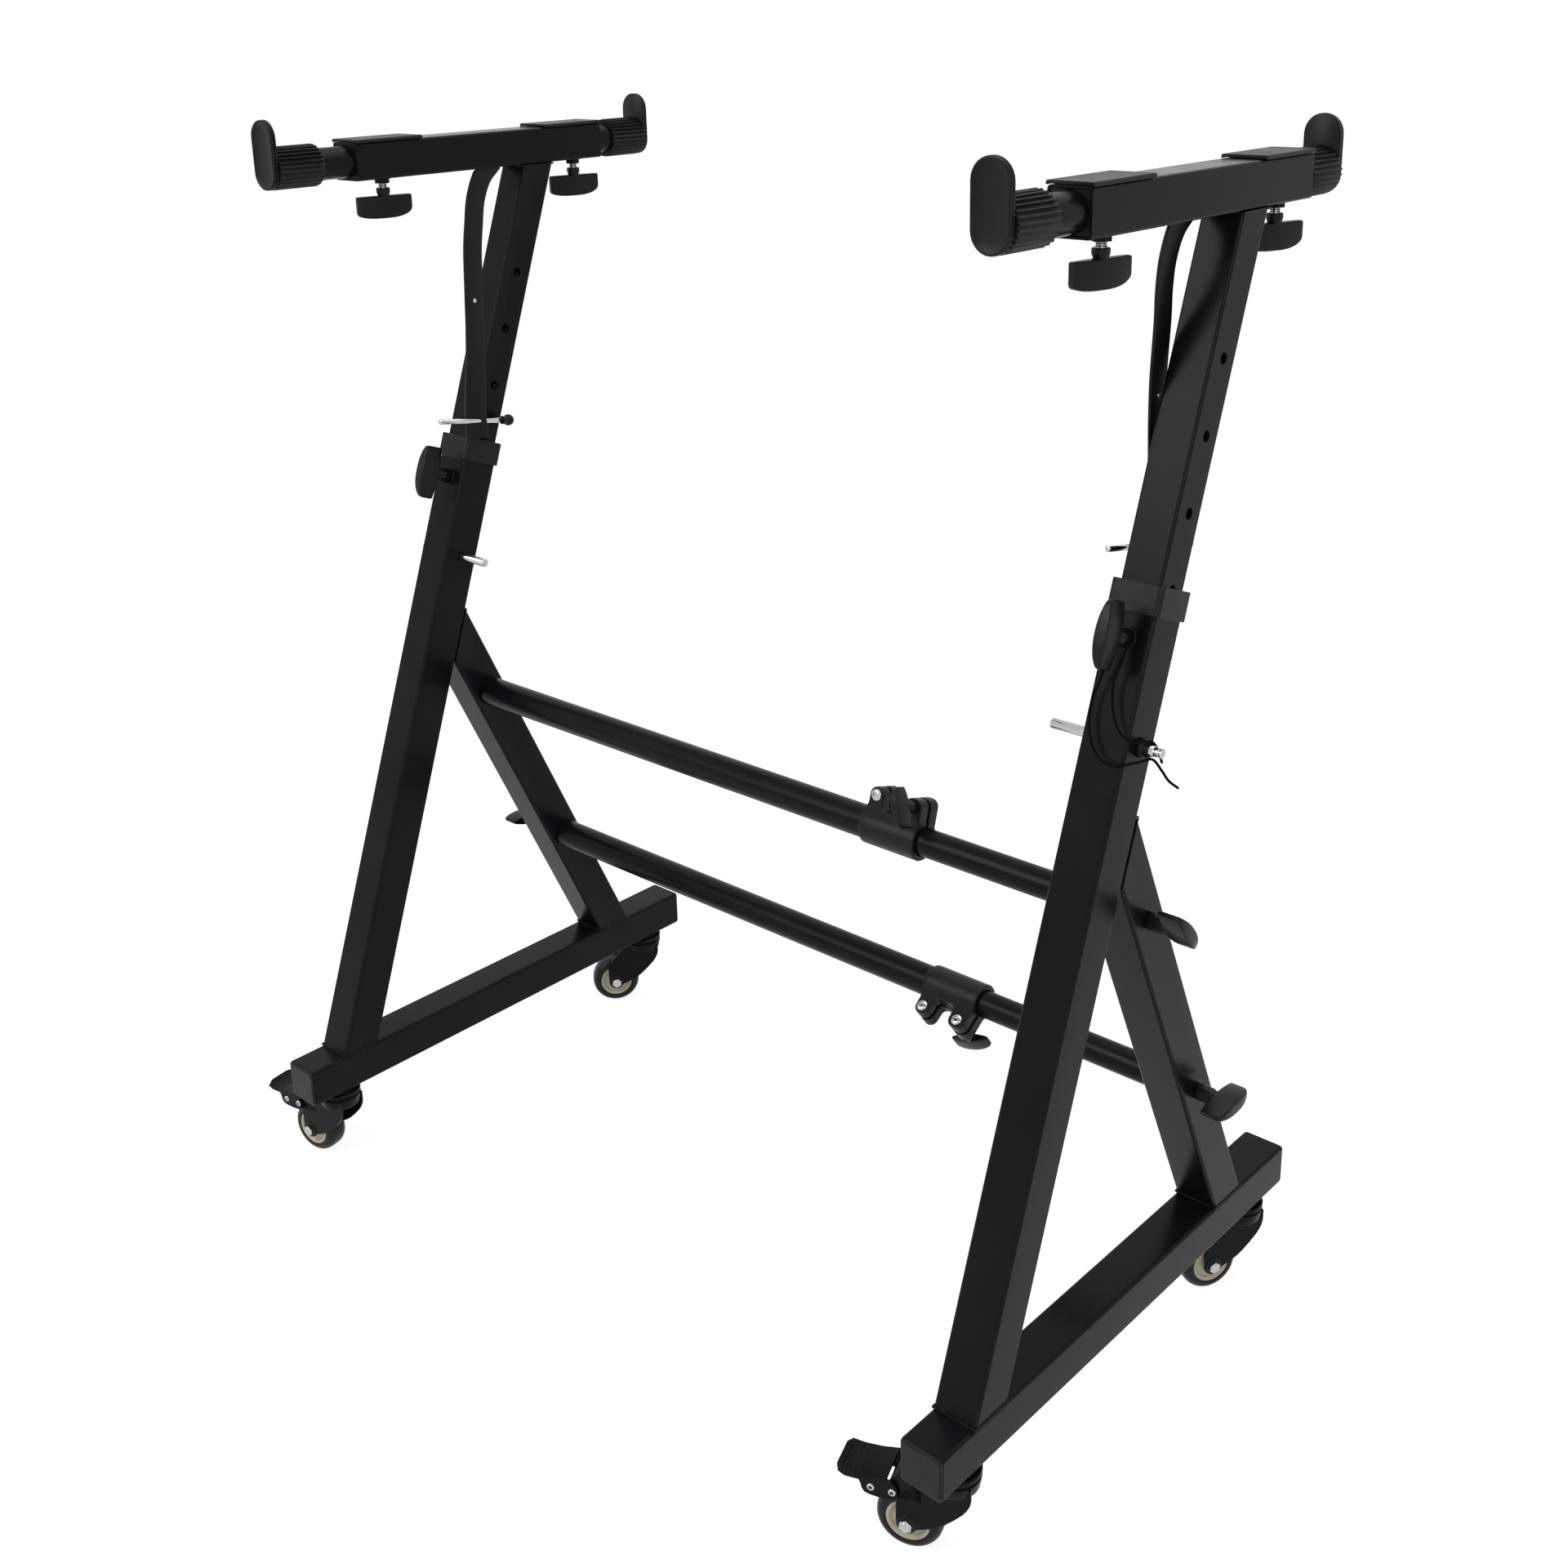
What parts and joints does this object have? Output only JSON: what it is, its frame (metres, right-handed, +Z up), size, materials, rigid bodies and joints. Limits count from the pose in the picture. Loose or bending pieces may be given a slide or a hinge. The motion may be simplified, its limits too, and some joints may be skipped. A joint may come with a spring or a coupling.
{
  "type": "keyboard stand",
  "caption": "Keyboard stand: slanted side frames on swivel casters, telescoping masts and arms with padded end stops, tied by telescoping cross bars with clamps.",
  "frame": {"origin": "on the floor, under the middle of the bounding box", "axes": "+X towards the right side frame (the near one in the picture), +Y to the rear, +Z up"},
  "size_m": [0.9082, 0.5113, 1.0065],
  "materials": {
    "powder_coat": "satin black powder coat on steel",
    "black_plastic": "matt moulded black plastic",
    "rubber": "ribbed soft black rubber",
    "strap": "flat flexible rubber strap",
    "tyre": "black tyre on a cream hub",
    "steel": "bright zinc-plated steel",
    "cord": "thin black cord"
  },
  "bodies": {
    "left_frame": {"left_base_beam": "powder_coat", "left_outer_upright": "powder_coat", "left_brace": "powder_coat", "left_height_collar": "black_plastic", "upper_bar_outer_tube": "powder_coat", "lower_bar_outer_tube": "powder_coat", "upper_clamp": "black_plastic", "lower_clamp": "black_plastic"},
    "right_frame": {"right_base_beam": "powder_coat", "right_outer_upright": "powder_coat", "right_brace": "powder_coat", "right_height_collar": "black_plastic", "right_lanyard": "cord", "upper_bar_inner_tube": "powder_coat", "lower_bar_inner_tube": "powder_coat"},
    "left_mast": {"left_inner_upright": "powder_coat", "left_arm_tube": "powder_coat", "left_front_pad": "rubber", "left_rear_pad": "rubber", "left_strap": "strap", "left_strap_pin": "steel"},
    "left_front_arm_extension": {"left_front_extension": "powder_coat", "left_front_end_support": "rubber"},
    "left_front_arm_knob": {"left_front_arm_knob": "black_plastic"},
    "left_front_caster": {"left_front_caster_fork": "powder_coat"},
    "left_front_wheel": {"left_front_wheel": "tyre"},
    "left_brake_pedal": {"left_brake_pedal": "powder_coat"},
    "left_rear_arm_extension": {"left_rear_extension": "powder_coat", "left_rear_end_support": "rubber"},
    "left_rear_arm_knob": {"left_rear_arm_knob": "black_plastic"},
    "left_rear_caster": {"left_rear_caster_fork": "powder_coat"},
    "left_rear_wheel": {"left_rear_wheel": "tyre"},
    "left_height_pin": {"left_height_pin": "steel"},
    "left_height_knob": {"left_height_knob": "black_plastic"},
    "left_upper_bar_knob": {"left_upper_bar_knob": "black_plastic"},
    "left_lower_bar_knob": {"left_lower_bar_knob": "black_plastic"},
    "right_mast": {"right_inner_upright": "powder_coat", "right_arm_tube": "powder_coat", "right_front_pad": "rubber", "right_rear_pad": "rubber", "right_strap": "strap", "right_strap_pin": "steel"},
    "right_front_arm_extension": {"right_front_extension": "powder_coat", "right_front_end_support": "rubber"},
    "right_front_arm_knob": {"right_front_arm_knob": "black_plastic"},
    "right_front_caster": {"right_front_caster_fork": "powder_coat"},
    "right_front_wheel": {"right_front_wheel": "tyre"},
    "right_brake_pedal": {"right_brake_pedal": "powder_coat"},
    "right_rear_arm_extension": {"right_rear_extension": "powder_coat", "right_rear_end_support": "rubber"},
    "right_rear_arm_knob": {"right_rear_arm_knob": "black_plastic"},
    "right_rear_caster": {"right_rear_caster_fork": "powder_coat"},
    "right_rear_wheel": {"right_rear_wheel": "tyre"},
    "right_height_pin": {"right_height_pin": "steel"},
    "right_height_knob": {"right_height_knob": "black_plastic"},
    "right_upper_bar_knob": {"right_upper_bar_knob": "black_plastic"},
    "right_lower_bar_knob": {"right_lower_bar_knob": "black_plastic"},
    "upper_clamp_knob": {"upper_clamp_knob": "black_plastic"},
    "lower_clamp_knob": {"lower_clamp_knob": "black_plastic"}
  },
  "joints": [
    {"name": "width_slide", "type": "slide", "parent": "left_frame", "child": "right_frame", "axis": [1, 0, 0], "range_m": [-0.14, 0.1]},
    {"name": "left_height", "type": "slide", "parent": "left_frame", "child": "left_mast", "axis": [0, 0.3387, 0.9409], "range_m": [-0.095, 0]},
    {"name": "left_front_reach", "type": "slide", "parent": "left_mast", "child": "left_front_arm_extension", "axis": [0, -1, 0], "range_m": [-0.0165, 0.075]},
    {"name": "left_front_arm_knob_turn", "type": "hinge", "parent": "left_mast", "child": "left_front_arm_knob", "pos_m": [-0.36584, -0.06136, 0.949], "axis": [0, 0, -1], "continuous": true},
    {"name": "left_front_caster_swivel", "type": "hinge", "parent": "left_frame", "child": "left_front_caster", "pos_m": [-0.36584, -0.20787, 0.082], "axis": [0, 0, 1], "continuous": true},
    {"name": "left_front_wheel_roll", "type": "hinge", "parent": "left_front_caster", "child": "left_front_wheel", "pos_m": [-0.39793, -0.21296, 0.026], "axis": [0.1564, -0.9877, 0], "continuous": true},
    {"name": "left_brake", "type": "hinge", "parent": "left_front_caster", "child": "left_brake_pedal", "pos_m": [-0.40781, -0.21452, 0.0544], "axis": [0.1564, -0.9877, 0], "range_deg": [0, 12]},
    {"name": "left_rear_reach", "type": "slide", "parent": "left_mast", "child": "left_rear_arm_extension", "axis": [0, 1, 0], "range_m": [0, 0.075]},
    {"name": "left_rear_arm_knob_turn", "type": "hinge", "parent": "left_mast", "child": "left_rear_arm_knob", "pos_m": [-0.36584, 0.16664, 0.949], "axis": [0, 0, -1], "continuous": true},
    {"name": "left_rear_caster_swivel", "type": "hinge", "parent": "left_frame", "child": "left_rear_caster", "pos_m": [-0.36584, 0.20513, 0.082], "axis": [0, 0, 1], "continuous": true},
    {"name": "left_rear_wheel_roll", "type": "hinge", "parent": "left_rear_caster", "child": "left_rear_wheel", "pos_m": [-0.38629, 0.17987, 0.026], "axis": [0.7771, -0.6293, 0], "continuous": true},
    {"name": "left_height_pin_pull", "type": "slide", "parent": "left_frame", "child": "left_height_pin", "axis": [-1, 0, 0], "range_m": [0, 0.08]},
    {"name": "left_height_knob_turn", "type": "hinge", "parent": "left_frame", "child": "left_height_knob", "pos_m": [-0.36584, -0.01425, 0.66236], "axis": [0, -0.9409, 0.3387], "continuous": true},
    {"name": "left_upper_bar_knob_turn", "type": "hinge", "parent": "left_frame", "child": "left_upper_bar_knob", "pos_m": [-0.38483, 0.00058, 0.44105], "axis": [-1, 0, 0], "continuous": true},
    {"name": "left_lower_bar_knob_turn", "type": "hinge", "parent": "left_frame", "child": "left_lower_bar_knob", "pos_m": [-0.38483, 0.08637, 0.25366], "axis": [-1, 0, 0], "continuous": true},
    {"name": "right_height", "type": "slide", "parent": "right_frame", "child": "right_mast", "axis": [0, 0.3387, 0.9409], "range_m": [-0.095, 0]},
    {"name": "right_front_reach", "type": "slide", "parent": "right_mast", "child": "right_front_arm_extension", "axis": [0, -1, 0], "range_m": [-0.0165, 0.075]},
    {"name": "right_front_arm_knob_turn", "type": "hinge", "parent": "right_mast", "child": "right_front_arm_knob", "pos_m": [0.39916, -0.06136, 0.949], "axis": [0, 0, -1], "continuous": true},
    {"name": "right_front_caster_swivel", "type": "hinge", "parent": "right_frame", "child": "right_front_caster", "pos_m": [0.39916, -0.20787, 0.082], "axis": [0, 0, 1], "continuous": true},
    {"name": "right_front_wheel_roll", "type": "hinge", "parent": "right_front_caster", "child": "right_front_wheel", "pos_m": [0.36882, -0.21952, 0.026], "axis": [0.3584, -0.9336, 0], "continuous": true},
    {"name": "right_brake", "type": "hinge", "parent": "right_front_caster", "child": "right_brake_pedal", "pos_m": [0.35949, -0.2231, 0.0544], "axis": [0.3584, -0.9336, 0], "range_deg": [0, 12]},
    {"name": "right_rear_reach", "type": "slide", "parent": "right_mast", "child": "right_rear_arm_extension", "axis": [0, 1, 0], "range_m": [0, 0.075]},
    {"name": "right_rear_arm_knob_turn", "type": "hinge", "parent": "right_mast", "child": "right_rear_arm_knob", "pos_m": [0.39916, 0.16664, 0.949], "axis": [0, 0, -1], "continuous": true},
    {"name": "right_rear_caster_swivel", "type": "hinge", "parent": "right_frame", "child": "right_rear_caster", "pos_m": [0.39916, 0.20513, 0.082], "axis": [0, 0, 1], "continuous": true},
    {"name": "right_rear_wheel_roll", "type": "hinge", "parent": "right_rear_caster", "child": "right_rear_wheel", "pos_m": [0.38391, 0.17643, 0.026], "axis": [0.8829, -0.4695, 0], "continuous": true},
    {"name": "right_height_pin_pull", "type": "slide", "parent": "right_frame", "child": "right_height_pin", "axis": [1, 0, 0], "range_m": [0, 0.08]},
    {"name": "right_height_knob_turn", "type": "hinge", "parent": "right_frame", "child": "right_height_knob", "pos_m": [0.39916, -0.01425, 0.66236], "axis": [0, -0.9409, 0.3387], "continuous": true},
    {"name": "right_upper_bar_knob_turn", "type": "hinge", "parent": "right_frame", "child": "right_upper_bar_knob", "pos_m": [0.41817, 0.00058, 0.44105], "axis": [1, 0, 0], "continuous": true},
    {"name": "right_lower_bar_knob_turn", "type": "hinge", "parent": "right_frame", "child": "right_lower_bar_knob", "pos_m": [0.41817, 0.08637, 0.25366], "axis": [1, 0, 0], "continuous": true},
    {"name": "upper_clamp_knob_turn", "type": "hinge", "parent": "left_frame", "child": "upper_clamp_knob", "pos_m": [0.19767, -0.00294, 0.47057], "axis": [0, -0.9563, 0.2924], "continuous": true},
    {"name": "lower_clamp_knob_turn", "type": "hinge", "parent": "left_frame", "child": "lower_clamp_knob", "pos_m": [0.19767, 0.07142, 0.22796], "axis": [0, 0.5878, -0.809], "continuous": true}
  ]
}
